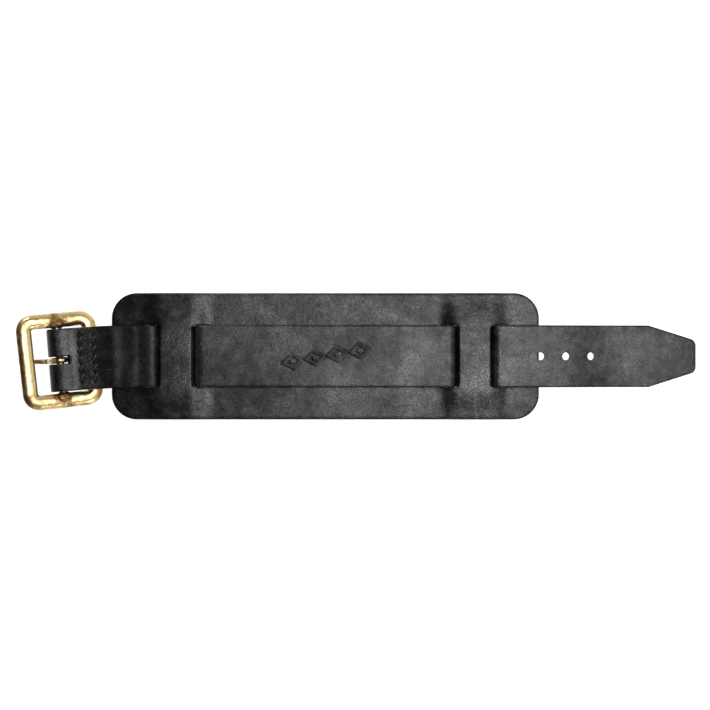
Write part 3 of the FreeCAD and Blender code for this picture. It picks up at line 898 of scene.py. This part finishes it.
def build_stitches(name, x):
    """One thread per row: short slanted stitches on both faces of the fold, and a plug in each hole."""
    top = BAR_Z + LAYER_SHIFT + 0.5 * STRAP_THICK
    bottom = BAR_Z - LAYER_SHIFT - 0.5 * STRAP_THICK
    bm = bmesh.new()
    places = stitch_places()
    for surface, way in ((top, 1), (bottom, -1)):
        for y0, y1 in zip(places, places[1:]):
            path = []
            for k in range(15):
                t = k / 14
                arch = math.sin(math.pi * t) ** 0.6
                lean = 0.70 * math.sin(math.pi * (t - 0.5))
                y = y0 + (y1 - y0) * (0.14 + 0.72 * t)
                path.append(Vector((x + lean, y, surface + way * (0.62 * arch - 0.35))))
            frames = []
            for k, point in enumerate(path):
                ahead = (path[min(k + 1, 14)] - path[max(k - 1, 0)]).normalized()
                side = ahead.cross(Vector((0, 0, 1))).normalized()
                frames.append((side, side.cross(ahead)))
            sections = [oval(2 * THREAD_RADIUS, 1.7 * THREAD_RADIUS, 12, 2.0)] * len(path)
            close_tube(bm, tube(bm, path, frames, sections), False)
    upright = [(Vector((1, 0, 0)), Vector((0, 1, 0)))] * 2
    for y in places:
        ends = [Vector((x, y, bottom + 0.5)), Vector((x, y, top - 0.5))]
        long_way = 2 * STITCH_HOLE_STRETCH * STITCH_HOLE_RADIUS - PLUG_PLAY
        plug = oval(2 * STITCH_HOLE_RADIUS - PLUG_PLAY, long_way, 12, 2.0)
        close_tube(bm, tube(bm, ends, upright, [plug] * 2), False)
    for v in bm.verts:
        px, py = turned(np.array([v.co.x]), np.array([v.co.y]))
        v.co.x, v.co.y = float(px[0]), float(py[0])
    thread_name = name.replace("row", "thread")
    return finish_mesh(bm, thread_name, thread, Matrix.Scale(MM, 4), "strap_end", [name])


# --- stage -------------------------------------------------------------------------------------

FLOOR_Z = -0.100             # metres: low enough that the wrapped cuff hangs clear of it


def build_stage():
    bpy.ops.mesh.primitive_plane_add(size=3.0, location=(0, 0, FLOOR_Z))
    floor = bpy.context.object
    floor.name = "floor"
    n = Nodes("pale_floor")
    n.shader.inputs["Base Color"].default_value = (0.90, 0.90, 0.90, 1)
    n.shader.inputs["Roughness"].default_value = 0.9
    n.shader.inputs["Emission Color"].default_value = (1.0, 1.0, 1.0, 1)
    n.shader.inputs["Emission Strength"].default_value = 0.5
    floor.data.materials.append(n.material)


def area_light(name, location, target, size_x, size_y, power):
    data = bpy.data.lights.new(name, "AREA")
    data.shape = "RECTANGLE"
    data.size, data.size_y = size_x, size_y
    data.energy = power
    light = bpy.data.objects.new(name, data)
    light.location = location
    light.rotation_euler = (Vector(target) - Vector(location)).to_track_quat("-Z", "Y").to_euler()
    bpy.context.scene.collection.objects.link(light)


def build_world():
    """A studio that is dark overhead and to the left, and pale near the horizon."""
    world = bpy.data.worlds.new("studio")
    world.use_nodes = True
    tree = world.node_tree
    background = tree.nodes["Background"]

    def band(value, low, high, start, end):
        node = tree.nodes.new("ShaderNodeMapRange")
        node.inputs["From Min"].default_value = low
        node.inputs["From Max"].default_value = high
        node.inputs["To Min"].default_value = start
        node.inputs["To Max"].default_value = end
        tree.links.new(value, node.inputs["Value"])
        return node.outputs["Result"]

    direction = tree.nodes.new("ShaderNodeTexCoord").outputs["Generated"]
    parts = tree.nodes.new("ShaderNodeSeparateXYZ")
    tree.links.new(direction, parts.inputs[0])
    product = tree.nodes.new("ShaderNodeMath")
    product.operation = "MULTIPLY"
    tree.links.new(band(parts.outputs["Z"], 0.35, 0.80, 0.9, 0.03), product.inputs[0])
    tree.links.new(band(parts.outputs["X"], -0.6, 0.5, 0.32, 1.15), product.inputs[1])
    tree.links.new(product.outputs[0], background.inputs["Strength"])
    background.inputs["Color"].default_value = (1.0, 1.0, 1.0, 1)
    bpy.context.scene.world = world


def build_light():
    build_world()
    area_light("overhead", (0.19, 0.04, 0.52), (0.19, 0.04, 0), 0.50, 0.34, 1.4)
    area_light("overhead_right", (0.10, 0.03, 0.51), (0.10, 0.03, 0), 0.18, 0.34, 0.85)
    area_light("back_left", (-0.20, 0.60, 0.40), (-0.05, 0, 0), 0.20, 0.14, 1.5)
    area_light("front_right", (0.40, -0.50, 0.40), (0.02, 0, 0), 0.16, 0.16, 0.8)


def build_camera():
    data = bpy.data.cameras.new("camera")
    data.lens = 60.0
    data.sensor_width = 36.0
    data.clip_start = 0.01
    camera = bpy.data.objects.new("camera", data)
    camera.location = (0.01055, 0.00046, 0.4226)
    bpy.context.scene.collection.objects.link(camera)
    bpy.context.scene.camera = camera
    bpy.context.scene.view_settings.view_transform = "Standard"


build_camera()
build_pad()
build_strap()
build_frame()
build_bar()
build_prong()
for row, row_x in STITCH_ROWS.items():
    build_stitches(row, row_x)
build_stage()
build_light()
